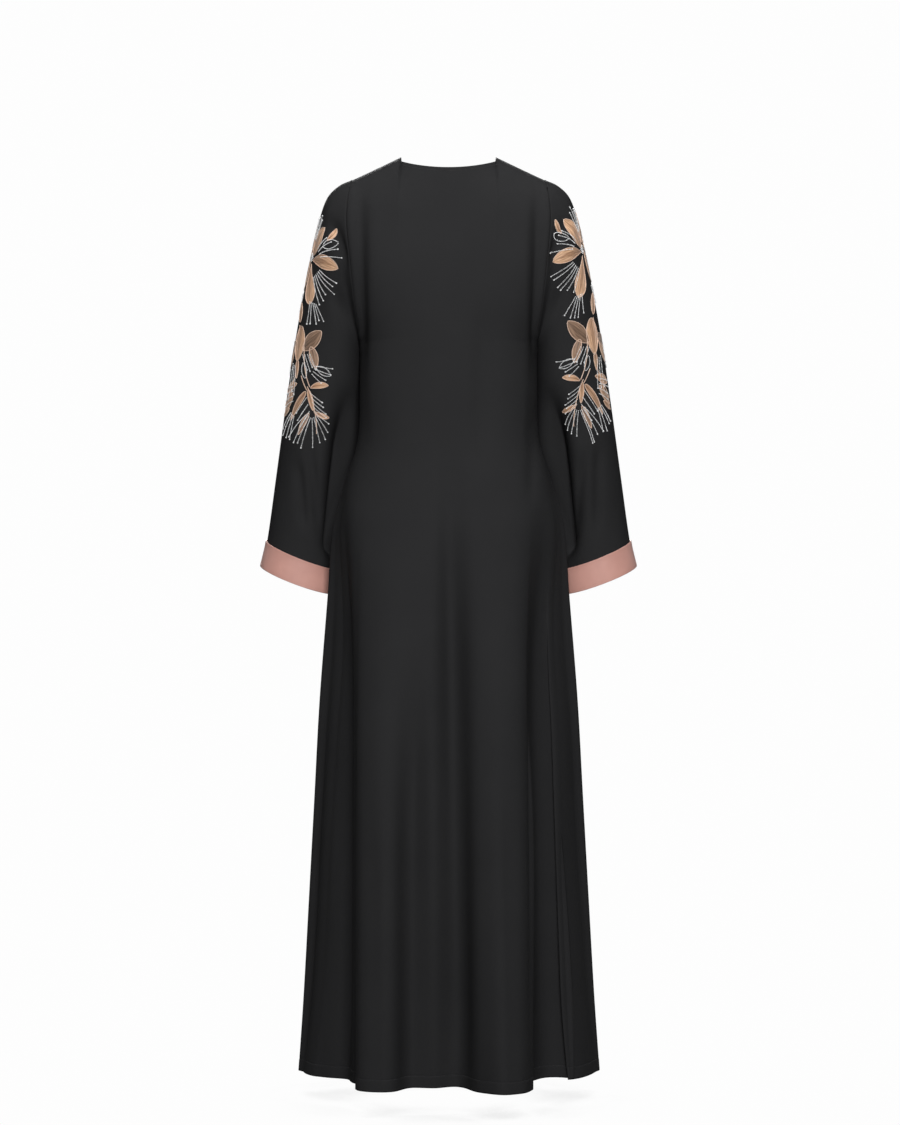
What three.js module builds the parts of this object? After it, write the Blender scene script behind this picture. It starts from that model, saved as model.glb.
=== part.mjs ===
// Abaya: a long, loose cloak with set-in sleeves and turned cuffs, standing hollow as it is worn.
//
// Frame, in millimetres. The origin is the middle of the neck opening at the height of the two high
// shoulder points, where the wearer's shoulders carry the cloak. +Z is up, the front faces -Y and +X is
// the wearer's left. Each piece is one cut panel: a grid of points on its outer face, and the same grid
// moved inwards by the thickness of the cloth.
import * as THREE from "three";

// Driving dimensions
const HEM_Z = -1440; // high shoulder point to hem
const WALL = 1.6; // thickness of the cloth
const SEAM_GAP = 0.4; // between two panels at the shoulder and side seams
const ARMHOLE_GAP = 0.6; // between a sleeve and the body
const NECK_HALF = 76; // half width of the neck opening at the shoulder seams
const NECK_SEAM_Y = 16; // the shoulder seam meets the neck this far behind the middle
const NECK_BACK = { y: 58, drop: 14 };
const NECK_FRONT = { y: -62, drop: 88 };
const LAP_DEGREES = 5.5; // each front runs this far past the middle
const LAP_DEPTH = 3.4; // under the lap the lower front lies this far inside the upper one,
const LAP_BLEND = { from: 26, to: 70 }; // and it comes out to the surface between these widths

// The armhole is an oval seam that leans inwards at the underarm.
const ARMHOLE = { top: -28, bottom: -285, y: -1, backReach: 74, frontReach: 62 };
const ARMHOLE_X = [
  { z: -285, x: 139 },
  { z: -230, x: 147 },
  { z: -165, x: 154 },
  { z: -100, x: 160 },
  { z: -60, x: 158 },
  { z: -28, x: 152 },
];
const SHOULDER_TURN = THREE.MathUtils.degToRad(22); // the shoulder seam meets the armhole behind its top

// Level rings of the body: half width, and where the ring crosses the middle of the back, the middle of
// the front and the side seams.
const BODY_RINGS = [
  { z: -285, half: 139, back: 114, front: -130, side: -1 },
  { z: -315, half: 140, back: 114, front: -130, side: 3 },
  { z: -345, half: 140, back: 115, front: -132, side: 8 },
  { z: -440, half: 143, back: 120, front: -137, side: 20 },
  { z: -506, half: 163, back: 127, front: -140, side: 28 },
  { z: -577, half: 182, back: 137, front: -144, side: 30 },
  { z: -678, half: 190, back: 148, front: -149, side: 25 },
  { z: -850, half: 204, back: 160, front: -160, side: 14 },
  { z: -1008, half: 213, back: 170, front: -168, side: 4 },
  { z: -1166, half: 222, back: 178, front: -176, side: -8 },
  { z: -1324, half: 231, back: 185, front: -184, side: -20 },
  { z: -1440, half: 239, back: 190, front: -190, side: -30 },
];
const BACK_SQUARENESS = 2.3; // the back half of a ring is a little squarer than an ellipse

// The hem from above, a row for each turn of its folds: `at` is the way round the body in degrees, from
// the wearer's left side (0) past the back (90), the right side (180) and the front (270).
const HEM_FOLDS = [
  { at: 0, x: 239, y: -40 },
  { at: 12, x: 226, y: 22 },
  { at: 22, x: 200, y: 54 },
  { at: 32, x: 166, y: 82 },
  { at: 38, x: 143, y: 106 },
  { at: 42, x: 136, y: 128 },
  { at: 46, x: 143, y: 152 },
  { at: 52, x: 137, y: 174 },
  { at: 60, x: 113, y: 191 },
  { at: 68, x: 84, y: 186 },
  { at: 76, x: 50, y: 165 },
  { at: 84, x: 20, y: 150 },
  { at: 92, x: -14, y: 161 },
  { at: 101, x: -50, y: 194 },
  { at: 110, x: -84, y: 216 },
  { at: 119, x: -112, y: 205 },
  { at: 126, x: -128, y: 178 },
  { at: 132, x: -130, y: 148 },
  { at: 136, x: -121, y: 114 },
  { at: 142, x: -130, y: 84 },
  { at: 150, x: -160, y: 64 },
  { at: 160, x: -194, y: 76 },
  { at: 169, x: -220, y: 44 },
  { at: 180, x: -240, y: -40 },
  { at: 190, x: -235, y: -86 },
  { at: 200, x: -210, y: -112 },
  { at: 210, x: -178, y: -116 },
  { at: 219, x: -164, y: -158 },
  { at: 229, x: -138, y: -198 },
  { at: 239, x: -104, y: -206 },
  { at: 249, x: -74, y: -182 },
  { at: 260, x: -36, y: -184 },
  { at: 270, x: 0, y: -194 },
  { at: 280, x: 36, y: -188 },
  { at: 290, x: 70, y: -174 },
  { at: 300, x: 102, y: -202 },
  { at: 310, x: 138, y: -206 },
  { at: 319, x: 166, y: -170 },
  { at: 329, x: 182, y: -124 },
  { at: 340, x: 212, y: -110 },
  { at: 350, x: 236, y: -84 },
  { at: 360, x: 239, y: -40 },
];
const FOLDS_START_Z = -540; // the folds open from here down to the hem
const FOLDS_POWER = 1.15;

// Between the shoulder and the underarm level a panel reaches its full depth early: what is left to
// reach is this power of what is left of the drop.
const BACK_FULLNESS = 2.4;
const FRONT_FULLNESS = 2.2;
const NECK_ROUNDNESS = 0.8; // the neckline falls from its corners as this power
const NECK_FADE = 0.3; // the corners of the neckline are smoothed out over this share of the armhole
const CHEST_DROP = 1.3; // rows below the front neckline start closer together, as this power
const ARMHOLE_PULL = 3; // the armhole's outline fades towards the middle as this power

// Rings of the left sleeve: `at` is the way down it, crown its outermost line and under its innermost.
const SLEEVE_SECTIONS = [
  { at: 0, crownX: 152, crownY: -1, crownZ: -28, underX: 139, underY: -1, underZ: -285, depth: 68 },
  { at: 0.032, crownX: 171, crownY: -3, crownZ: -36, underX: 139, underY: -22, underZ: -296, depth: 68 },
  { at: 0.07, crownX: 189, crownY: -5, crownZ: -52, underX: 138, underY: -32, underZ: -310, depth: 68 },
  { at: 0.11, crownX: 200, crownY: -8, crownZ: -76, underX: 137, underY: -38, underZ: -325, depth: 68 },
  { at: 0.19, crownX: 212, crownY: -12, crownZ: -123, underX: 136, underY: -44, underZ: -358, depth: 67 },
  { at: 0.39, crownX: 238, crownY: -24, crownZ: -250, underX: 137, underY: -52, underZ: -440, depth: 64 },
  { at: 0.59, crownX: 258, crownY: -40, crownZ: -376, underX: 152, underY: -60, underZ: -518, depth: 60 },
  { at: 0.79, crownX: 276, crownY: -56, crownZ: -502, underX: 167, underY: -68, underZ: -598, depth: 54 },
  { at: 0.94, crownX: 290, crownY: -66, crownZ: -598, underX: 174, underY: -70, underZ: -642, depth: 51 },
  { at: 1, crownX: 299, crownY: -69, crownZ: -637, underX: 178, underY: -72, underZ: -681, depth: 56 },
];
const SLEEVE_LEAN = 0.17; // the back of a ring hangs lower than its middle by this share of its depth
const ARMHOLE_FADE = 0.3; // the armhole's outline fades out over this share of the sleeve
const CUFF_AT = 0.938; // the cuff's top edge, as a share of the way down the sleeve
const SLEEVE_END_AT = 0.952; // the sleeve ends just under it
const CUFF_GAP = 0.4; // between the sleeve's end and the cuff round it
const CUFF_WALL = 2;

// How finely the panels are cut into faces
const UPPER_ROWS = [0, 0.055, 0.11, 0.2, 0.32, 0.46, 0.62, 0.8, 1]; // shares of the way to the underarm
const LOWER_ROW_COUNT = 11;
const COLUMN_SPACING = 6.5; // folds wider than this many degrees get a column between their turns
const LEAST_COLUMN = 0.02; // a fold's column closer than this to the neck's corner is left out
const SLEEVE_RING_COUNT = 12;
const CUFF_RING_COUNT = 2;

const CLOTH = { color: 0x202123, roughness: 0.82, metalness: 0 };
const CUFF_CLOTH = { color: 0xc0948a, roughness: 0.62, metalness: 0 };

const { lerp, clamp, radToDeg, euclideanModulo, smoothstep } = THREE.MathUtils;
const HALF_TURN = Math.PI;
const QUARTER_TURN = Math.PI / 2;

// A smooth curve through a table: the value of column `name` where column `by` is `at`.
function through(table, by, name, at) {
  const last = table.length - 1;
  const rising = table[last][by] > table[0][by];
  let i = 0;
  while (i < last - 1 && (rising ? table[i + 1][by] < at : table[i + 1][by] > at)) i++;
  const slope = (a, b) => (table[b][name] - table[a][name]) / (table[b][by] - table[a][by]);
  const span = table[i + 1][by] - table[i][by];
  const t = clamp((at - table[i][by]) / span, 0, 1);
  const start = slope(Math.max(i - 1, 0), i + 1) * span;
  const end = slope(i, Math.min(i + 2, last)) * span;
  const rise = table[i + 1][name] - table[i][name];
  const bend = 3 * rise - 2 * start - end;
  return table[i][name] + start * t + bend * t ** 2 + (start + end - 2 * rise) * t ** 3;
}

const signedPower = (value, power) => Math.sign(value) * Math.abs(value) ** power;

// A point of the level ring at height z, at angle `turn` round the body.
function ringPoint(turn, z) {
  const [half, back, front, side] = ["half", "back", "front", "side"].map((name) =>
    through(BODY_RINGS, "z", name, z),
  );
  const s = Math.sin(turn);
  const power = s > 0 ? 2 / BACK_SQUARENESS : 1;
  const reach = s > 0 ? back - side : side - front;
  const opened = clamp((FOLDS_START_Z - z) / (FOLDS_START_Z - HEM_Z), 0, 1) ** FOLDS_POWER;
  const degrees = euclideanModulo(radToDeg(turn), 360);
  const foldedX = (through(HEM_FOLDS, "at", "x", degrees) * half) / HEM_FOLDS[0].x;
  const foldedY = through(HEM_FOLDS, "at", "y", degrees);
  const x = lerp(half * signedPower(Math.cos(turn), power), foldedX, opened);
  const y = lerp(side + reach * signedPower(s, power), foldedY, opened);
  return [x, y, z];
}

// A point of the left armhole: turn 0 is its top, a quarter turn its back, a half turn the underarm.
function armholePoint(turn) {
  const z = lerp(ARMHOLE.bottom, ARMHOLE.top, (1 + Math.cos(turn)) / 2);
  const reach = Math.sin(turn) > 0 ? ARMHOLE.backReach : ARMHOLE.frontReach;
  return [through(ARMHOLE_X, "z", "x", z), ARMHOLE.y + reach * Math.sin(turn), z];
}
const SHOULDER_END = armholePoint(SHOULDER_TURN);

// The top edge of a panel: its half of the neckline, then the shoulder seam out to the armhole.
function topPoint(u, neck) {
  const x = SHOULDER_END[0] * Math.sin(u * QUARTER_TURN);
  const round = 1 - (x / NECK_HALF) ** 2;
  const fall = neck.drop * Math.max(round, 0) ** NECK_ROUNDNESS;
  if (round > 0) return [x, lerp(NECK_SEAM_Y, neck.y, Math.sqrt(round)), -fall];
  const out = (Math.abs(x) - NECK_HALF) / (SHOULDER_END[0] - NECK_HALF);
  return [x, lerp(NECK_SEAM_Y, SHOULDER_END[1], out), SHOULDER_END[2] * out];
}

// A panel above the underarm level: t runs from its top edge (0) down to that level (1). It ends at the
// armhole, so its rows are the underarm ring cut off there, and their heights follow the armhole's own:
// the front climbs from the shoulder seam over the ridge before it falls.
function upperPoint(u, t, facing) {
  const neck = facing > 0 ? NECK_BACK : NECK_FRONT;
  const top = topPoint(u, neck);
  const edge = armholePoint(lerp(SHOULDER_TURN, facing * HALF_TURN, t));
  const ring = BODY_RINGS[0];
  const reach = facing > 0 ? ring.back - ring.side : ring.side - ring.front;
  const offSide = clamp((facing * (edge[1] - ring.side)) / reach, 0, 1);
  const uncut = QUARTER_TURN - Math.asin(offSide ** (facing > 0 ? BACK_SQUARENESS / 2 : 1));
  const foot = ringPoint(facing * (QUARTER_TURN - u * uncut), ARMHOLE.bottom);
  const footEdge = ringPoint(facing * (QUARTER_TURN - uncut), ARMHOLE.bottom);
  const climb = facing > 0 ? 1 : clamp((top[1] - neck.y) / (NECK_SEAM_Y - neck.y), 0, 1);
  const fall = (edge[2] - SHOULDER_END[2]) / (ARMHOLE.bottom - SHOULDER_END[2]);
  const down = lerp(t ** CHEST_DROP, fall, climb);
  const left = 1 - (facing > 0 ? fall : lerp(down, t, climb));
  const full = 1 - left ** (facing > 0 ? BACK_FULLNESS : FRONT_FULLNESS);
  const share = lerp(t, fall, t);
  const pull = Math.abs(Math.sin(u * QUARTER_TURN)) ** ARMHOLE_PULL;
  const rounded = lerp(neck.y, SHOULDER_END[1], smoothstep(Math.abs(u), 0, 1));
  const topY = lerp(top[1], rounded, smoothstep(t, 0, NECK_FADE));
  return [
    (lerp(top[0], foot[0], share) * edge[0]) / lerp(SHOULDER_END[0], footEdge[0], share),
    lerp(topY, foot[1], full) + (edge[1] - lerp(SHOULDER_END[1], footEdge[1], full)) * pull,
    lerp(top[2], foot[2], down),
  ];
}

// A point of the body. u runs from the middle (0) to the wearer's left side seam (1) or right (-1), v
// from the top edge (0) past the underarm level (1) to the hem (2); facing is 1 for the back.
function bodyPoint(u, v, facing) {
  if (v <= 1) return upperPoint(u, v, facing);
  return ringPoint(facing * (1 - u) * QUARTER_TURN, lerp(ARMHOLE.bottom, HEM_Z, v - 1));
}

// One front: side is 1 for the wearer's left, which lies under, and -1 for the right, which laps over it.
function frontPoint(u, v, side) {
  const [x, y, z] = bodyPoint(side * u, v, -1);
  const inward = side > 0 ? LAP_DEPTH * (1 - smoothstep(x, LAP_BLEND.from, LAP_BLEND.to)) : 0;
  return [x, y + inward, z];
}

// A point of the left sleeve: s runs from the armhole (0) to the cuff's lower edge (1).
function sleevePoint(s, turn) {
  const ring = (at) => {
    const row = (name) => through(SLEEVE_SECTIONS, "at", name, at);
    const out = (1 + Math.cos(turn)) / 2;
    const across = row("depth") * Math.sin(turn);
    return [
      lerp(row("underX"), row("crownX"), out),
      lerp(row("underY"), row("crownY"), out) + across,
      lerp(row("underZ"), row("crownZ"), out) - SLEEVE_LEAN * across,
    ];
  };
  const start = ring(0);
  const seam = armholePoint(turn);
  const hold = 1 - smoothstep(s, 0, ARMHOLE_FADE);
  return ring(s).map((value, i) => value + (seam[i] - start[i]) * hold);
}

const steps = (from, to, count) => Array.from({ length: count + 1 }, (_, i) => lerp(from, to, i / count));

// Columns of the body panels as shares of the way from the middle to the side seams, from the wearer's
// right (-1) to the left (1): one at each turn of the back's folds, one between turns that lie far apart,
// and one at each end of the neckline.
const neckShare = Math.asin(NECK_HALF / SHOULDER_END[0]) / QUARTER_TURN;
const turnsOfBack = HEM_FOLDS.map((fold) => fold.at).filter((at) => at <= 180);
const turnsBetween = turnsOfBack
  .slice(1)
  .flatMap((at, i) => (at - turnsOfBack[i] > COLUMN_SPACING ? [(at + turnsOfBack[i]) / 2] : []));
const columns = [...turnsOfBack, ...turnsBetween]
  .map((at) => 1 - at / 90)
  .filter((share) => Math.abs(Math.abs(share) - neckShare) > LEAST_COLUMN)
  .concat(neckShare, -neckShare)
  .sort((a, b) => a - b);

// Grids of points, grid[row][column]
const bodyRows = [...UPPER_ROWS, ...steps(1, 2, LOWER_ROW_COUNT).slice(1)];
const backGrid = bodyRows.map((v) => columns.map((u) => bodyPoint(u, v, 1)));
function frontGrid(side) {
  const own = columns.map((u) => side * u).filter((u) => u > 0).sort((a, b) => a - b);
  return bodyRows.map((v) => [-LAP_DEGREES / 90, ...own].map((u) => frontPoint(u, v, side)));
}
const armholeTurns = [
  ...UPPER_ROWS.map((t) => lerp(SHOULDER_TURN, HALF_TURN, t)),
  ...UPPER_ROWS.slice(1, -1).reverse().map((t) => lerp(SHOULDER_TURN, -HALF_TURN, t)),
];
const sleeveRow = (s, side) =>
  armholeTurns.map((turn) => sleevePoint(s, turn)).map(([x, y, z]) => [side * x, y, z]);
const sleeveGrid = (shares, side) => shares.map((s) => sleeveRow(s, side));

// The outward direction at a grid point: across the columns times down the rows.
function outwardAt(grid, r, c, closed, side) {
  const width = grid[0].length;
  const column = (i) => (closed ? (i + width) % width : clamp(i, 0, width - 1));
  const at = (i, j) => new THREE.Vector3(...grid[clamp(i, 0, grid.length - 1)][column(j)]);
  const across = at(r, c + 1).sub(at(r, c - 1));
  return across.cross(at(r + 1, c).sub(at(r - 1, c))).normalize().multiplyScalar(side);
}

// A closed wall between an outer grid and an inner one. side is 1 where the columns run so that across
// times down points outwards, and -1 where they run the other way. Each face of a rim is split from its
// lower outer corner, so that two rims that meet at a seam are split alike.
function wallGeometry(outer, inner, closed, side) {
  const height = outer.length;
  const width = outer[0].length;
  const layer = height * width;
  const index = [];
  const quad = (a, b, c, d) => index.push(...(side > 0 ? [a, b, c, a, c, d] : [a, c, b, a, d, c]));
  const levelOf = (i) => outer[Math.floor(i / width)][i % width][2];
  const rim = (a, b) =>
    levelOf(a) < levelOf(b) ? quad(a, b, b + layer, a + layer) : quad(b, b + layer, a + layer, a);
  const spans = closed ? width : width - 1;
  for (let c = 0; c < spans; c++) {
    const next = (c + 1) % width;
    for (let r = 0; r < height - 1; r++) {
      const [a, b] = [r * width + c, r * width + next];
      quad(a, b, b + width, a + width);
      quad(b + layer, a + layer, a + layer + width, b + layer + width);
    }
    const low = (height - 1) * width;
    rim(next, c);
    rim(low + c, low + next);
  }
  for (let r = 0; r < height - 1 && !closed; r++) {
    const [a, b] = [r * width, r * width + width - 1];
    rim(a, a + width);
    rim(b + width, b);
  }
  const geometry = new THREE.BufferGeometry();
  const positions = [...outer.flat(2), ...inner.flat(2)];
  geometry.setAttribute("position", new THREE.Float32BufferAttribute(positions, 3));
  geometry.setIndex(index);
  geometry.computeVertexNormals();
  return geometry;
}

// All panels. out and inn are how far the two faces lie from the grid; shift sets a panel off at its seams.
const behind = [0, SEAM_GAP / 2, 0];
const ahead = [0, -SEAM_GAP / 2, 0];
const toLeft = [ARMHOLE_GAP, 0, 0];
const toRight = [-ARMHOLE_GAP, 0, 0];
const sleeveRings = [...steps(0, CUFF_AT, SLEEVE_RING_COUNT), SLEEVE_END_AT];
const cuffRings = steps(CUFF_AT, 1, CUFF_RING_COUNT);
const body = { closed: false, out: 0, inn: -WALL, cloth: CLOTH };
const sleeve = { closed: true, out: 0, inn: -WALL, cloth: CLOTH };
const cuff = { closed: true, out: CUFF_GAP + CUFF_WALL, inn: CUFF_GAP, cloth: CUFF_CLOTH };
const panels = [
  { name: "back", grid: backGrid, side: 1, shift: behind, ...body },
  { name: "front_left", grid: frontGrid(1), side: -1, shift: ahead, ...body },
  { name: "front_right", grid: frontGrid(-1), side: 1, shift: ahead, ...body },
  { name: "sleeve_left", grid: sleeveGrid(sleeveRings, 1), side: -1, shift: toLeft, ...sleeve },
  { name: "sleeve_right", grid: sleeveGrid(sleeveRings, -1), side: 1, shift: toRight, ...sleeve },
  { name: "cuff_left", grid: sleeveGrid(cuffRings, 1), side: -1, shift: toLeft, ...cuff },
  { name: "cuff_right", grid: sleeveGrid(cuffRings, -1), side: 1, shift: toRight, ...cuff },
];

// Panels that meet at a point mitre there: both take the mean of their directions, unless they turn
// sharply away from each other, as the sleeve and the body do at the underarm.
const MITRE_LIMIT = 0.75;
const place = (point) => point.map((value) => Math.round(value * 20)).join();
const meeting = new Map();
for (const panel of panels)
  panel.outward = panel.grid.map((row, r) =>
    row.map((point, c) => {
      const direction = outwardAt(panel.grid, r, c, panel.closed, panel.side);
      const sum = meeting.get(place(point)) ?? new THREE.Vector3();
      meeting.set(place(point), sum.add(direction));
      return direction;
    }),
  );

function panelMesh({ name, grid, outward, closed, side, shift, out, inn, cloth }) {
  const moved = (distance) =>
    grid.map((row, r) =>
      row.map((point, c) => {
        const own = outward[r][c];
        const mean = meeting.get(place(point)).clone().normalize();
        const direction = mean.dot(own) > MITRE_LIMIT ? mean : own;
        return point.map((value, i) => value + shift[i] + distance * direction.getComponent(i));
      }),
    );
  const geometry = wallGeometry(moved(out), moved(inn), closed, side);
  const mesh = new THREE.Mesh(geometry, new THREE.MeshStandardMaterial(cloth));
  mesh.name = name;
  return mesh;
}

const abaya = new THREE.Group();
for (const panel of panels) abaya.add(panelMesh(panel));

export default abaya;
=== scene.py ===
"""An abaya seen from behind on a plain studio floor: cloth panels, turned cuffs, embroidery and beads.

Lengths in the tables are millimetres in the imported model's frame (+Z up, front towards -Y, origin at the
middle of the neck), and meshes are made in metres.
"""
import math

import bpy
import numpy as np
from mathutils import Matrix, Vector


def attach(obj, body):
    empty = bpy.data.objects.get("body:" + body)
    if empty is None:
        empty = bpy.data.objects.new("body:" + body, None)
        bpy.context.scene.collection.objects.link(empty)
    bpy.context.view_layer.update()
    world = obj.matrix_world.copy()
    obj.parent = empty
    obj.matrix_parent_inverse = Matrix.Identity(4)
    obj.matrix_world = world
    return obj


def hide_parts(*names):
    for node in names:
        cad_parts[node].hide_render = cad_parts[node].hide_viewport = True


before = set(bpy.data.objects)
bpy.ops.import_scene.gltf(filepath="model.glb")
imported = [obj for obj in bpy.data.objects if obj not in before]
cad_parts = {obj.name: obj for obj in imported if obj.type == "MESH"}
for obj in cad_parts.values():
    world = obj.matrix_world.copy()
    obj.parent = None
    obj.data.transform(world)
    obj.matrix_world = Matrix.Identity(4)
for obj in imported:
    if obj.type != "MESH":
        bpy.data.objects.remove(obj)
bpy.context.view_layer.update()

MM = 0.001

# ---------------------------------------------------------------------------------------------------
# Camera, floor and light
# ---------------------------------------------------------------------------------------------------
CAMERA_AT = (-0.0024, 5.4, -0.632)
CAMERA_LENS = 109.4  # on a 36 mm frame height
FLOOR_Z = -1.480
FLOOR_HALF = 9.0
WHITE = 0.985
FLOOR_BOUNCE = 0.22  # how bright the floor is as it lights the cloth
AMBIENT = 0.05
CONTACT = 0.16  # how far the soft shadow under the hem reaches
CONTACT_STRETCH, CONTACT_ROUNDING, CONTACT_DARK = 1.5, 0.3, 0.05
LIGHTS = (  # name, place, aim, side of the box, watts
    ("key", (-0.3, 4.4, 1.4), (0, 0, -0.5), 1.3, 195),
    ("front key", (0.3, -4.4, 1.4), (0, 0, -0.5), 1.3, 195),
    ("overhead", (0, 0.0, 3.0), (0, 0, -1), 3.0, 70),
)


def make_camera():
    """A level camera straight behind the cloak."""
    data = bpy.data.cameras.new("camera")
    data.lens = CAMERA_LENS
    data.sensor_fit = "VERTICAL"
    data.sensor_height = 36.0
    camera = bpy.data.objects.new("camera", data)
    camera.location = CAMERA_AT
    camera.rotation_euler = (math.pi / 2, 0.0, math.pi)
    bpy.context.scene.collection.objects.link(camera)
    bpy.context.scene.camera = camera


def make_area_light(name, place, aim, size, watts):
    """A square soft box at `place` that points at `aim`."""
    data = bpy.data.lights.new(name, "AREA")
    data.shape = "SQUARE"
    data.size = size
    data.energy = watts
    light = bpy.data.objects.new(name, data)
    light.location = place
    light.rotation_euler = (Vector(aim) - Vector(place)).to_track_quat("-Z", "Y").to_euler()
    bpy.context.scene.collection.objects.link(light)


make_camera()

# ---------------------------------------------------------------------------------------------------
# The cut of the cloak: the same driving sizes and tables as the solids
# ---------------------------------------------------------------------------------------------------
HEM_Z = -1440.0
WALL = 1.2
NECK_HALF = 76.0
NECK_SEAM_Y = 16.0
NECK_BACK = {"y": 58.0, "drop": 14.0}
NECK_FRONT = {"y": -62.0, "drop": 88.0}
LAP_DEGREES = 5.5
LAP_DEPTH = 3.4
LAP_BLEND = (26.0, 70.0)
ARMHOLE = {"top": -28.0, "bottom": -285.0, "y": -1.0, "back": 74.0, "front": 62.0}
ARMHOLE_X = {"z": (-285, -230, -165, -100, -60, -28), "x": (139, 147, 154, 160, 158, 152)}
SHOULDER_TURN = math.radians(22.0)
BODY_RINGS = {
    "z": (-285, -315, -345, -440, -506, -577, -678, -850, -1008, -1166, -1324, -1440),
    "half": (139, 140, 140, 143, 163, 182, 190, 204, 213, 222, 231, 239),
    "back": (114, 114, 115, 120, 127, 137, 148, 160, 170, 178, 185, 190),
    "front": (-130, -130, -132, -137, -140, -144, -149, -160, -168, -176, -184, -190),
    "side": (-1, 3, 8, 20, 28, 30, 25, 14, 4, -8, -20, -30),
}
BACK_SQUARENESS = 2.3
HEM_FOLDS = np.array(  # degrees round the body, x, y
    [
        (0, 239, -40), (12, 226, 22), (22, 200, 54), (32, 166, 82), (38, 143, 106), (42, 136, 128),
        (46, 143, 152), (52, 137, 174), (60, 113, 191), (68, 84, 186), (76, 50, 165), (84, 20, 150),
        (92, -14, 161), (101, -50, 194), (110, -84, 216), (119, -112, 205), (126, -128, 178),
        (132, -130, 148), (136, -121, 114), (142, -130, 84), (150, -160, 64), (160, -194, 76),
        (169, -220, 44), (180, -240, -40), (190, -235, -86), (200, -210, -112), (210, -178, -116),
        (219, -164, -158), (229, -138, -198), (239, -104, -206), (249, -74, -182), (260, -36, -184),
        (270, 0, -194), (280, 36, -188), (290, 70, -174), (300, 102, -202), (310, 138, -206),
        (319, 166, -170), (329, 182, -124), (340, 212, -110), (350, 236, -84), (360, 239, -40),
    ],
    float,
)
FOLDS_START_Z = -540.0
FOLDS_POWER = 1.15
BACK_FULLNESS = 2.4
FRONT_FULLNESS = 2.2
NECK_ROUNDNESS = 0.8
NECK_FADE = 0.3
CHEST_DROP = 1.3
ARMHOLE_PULL = 3
LAST_ROWS = (0.7, 1.0)  # on these rows above the underarm level only the columns near the armhole
ROWS_SIDEWAYS = 5.0  # shift sideways with it, as this power
CROWDED_ROWS = (0.86, 1.03)
TUCK = 2.2  # how far the panels' corners reach under the sleeve at the underarm,
TUCK_FROM, TUCK_HEIGHT = (126.0, 137.0), (8.0, 22.0)  # fading in over x, and out over height
CREASE_START, CREASE_END = (-0.12, 0.28), (0.72, 1.12)  # where along its line a crease fades in and out
CREASE_FACING = (-0.15, 0.3)  # it fades out where the cloth turns to face the other way
SLEEVE_SECTIONS = {
    "at": (0, 0.032, 0.07, 0.11, 0.19, 0.39, 0.59, 0.79, 0.94, 1),
    "crown_x": (152, 171, 189, 200, 212, 238, 258, 276, 290, 299),
    "crown_y": (-1, -3, -5, -8, -12, -24, -40, -56, -66, -69),
    "crown_z": (-28, -36, -52, -76, -123, -250, -376, -502, -598, -637),
    "under_x": (139, 139, 138, 137, 136, 137, 152, 167, 174, 178),
    "under_y": (-1, -22, -32, -38, -44, -52, -60, -68, -70, -72),
    "under_z": (-285, -296, -310, -325, -358, -440, -518, -598, -642, -681),
    "depth": (68, 68, 68, 68, 67, 64, 60, 54, 51, 56),
}
SLEEVE_LEAN = 0.17
ARMHOLE_FADE = 0.3
CUFF_AT = 0.938
SLEEVE_END_AT = 0.952
CUFF_PROUD = 2.4  # the cuff's face stands this far off the sleeve
CUFF_CALM, CUFF_CALM_LENGTH = 0.8, 0.12  # creases lose this share of their depth on the way to the cuff
CUFF_WALL = 1.8


def through(at, values, where):
    """A smooth curve through table rows: on each span a cubic whose slopes at both ends are those of the
    chord between the neighbouring rows."""
    at = np.asarray(at, float)
    values = np.asarray(values, float)
    if at[0] > at[-1]:
        at, values = at[::-1], values[::-1]
    last = len(at) - 1
    i = np.clip(np.searchsorted(at, where, side="right") - 1, 0, last - 1)
    low, high = np.maximum(i - 1, 0), np.minimum(i + 2, last)
    span = at[i + 1] - at[i]
    t = np.clip((where - at[i]) / span, 0.0, 1.0)
    start = (values[i + 1] - values[low]) / (at[i + 1] - at[low]) * span
    end = (values[high] - values[i]) / (at[high] - at[i]) * span
    rise = values[i + 1] - values[i]
    bend = 3 * rise - 2 * start - end
    return values[i] + start * t + bend * t**2 + (start + end - 2 * rise) * t**3


def smooth(low, high, where):
    """0 below low, 1 above high, and an S-shaped cubic between them."""
    t = np.clip((where - low) / (high - low), 0.0, 1.0)
    return t * t * (3 - 2 * t)


def lerp(a, b, share):
    return a + (b - a) * share


def signed_power(value, power):
    return np.sign(value) * np.abs(value) ** power


def ring_point(turn, z):
    """The level ring of the body at height z: half an oval behind the side seams and half before them,
    which turns into the folded outline of the hem as z nears it."""
    names = ("half", "back", "front", "side")
    half, back, front, side = (through(BODY_RINGS["z"], BODY_RINGS[name], z) for name in names)
    s = np.sin(turn)
    power = np.where(s > 0, 2 / BACK_SQUARENESS, 1.0)
    reach = np.where(s > 0, back - side, side - front)
    opened = np.clip((FOLDS_START_Z - z) / (FOLDS_START_Z - HEM_Z), 0.0, 1.0) ** FOLDS_POWER
    degrees = np.degrees(turn) % 360
    folded_x = through(HEM_FOLDS[:, 0], HEM_FOLDS[:, 1], degrees) * half / HEM_FOLDS[0, 1]
    folded_y = through(HEM_FOLDS[:, 0], HEM_FOLDS[:, 2], degrees)
    x = lerp(half * signed_power(np.cos(turn), power), folded_x, opened)
    y = lerp(side + reach * signed_power(s, power), folded_y, opened)
    return np.stack([x, y, z + 0 * x], -1)


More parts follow.
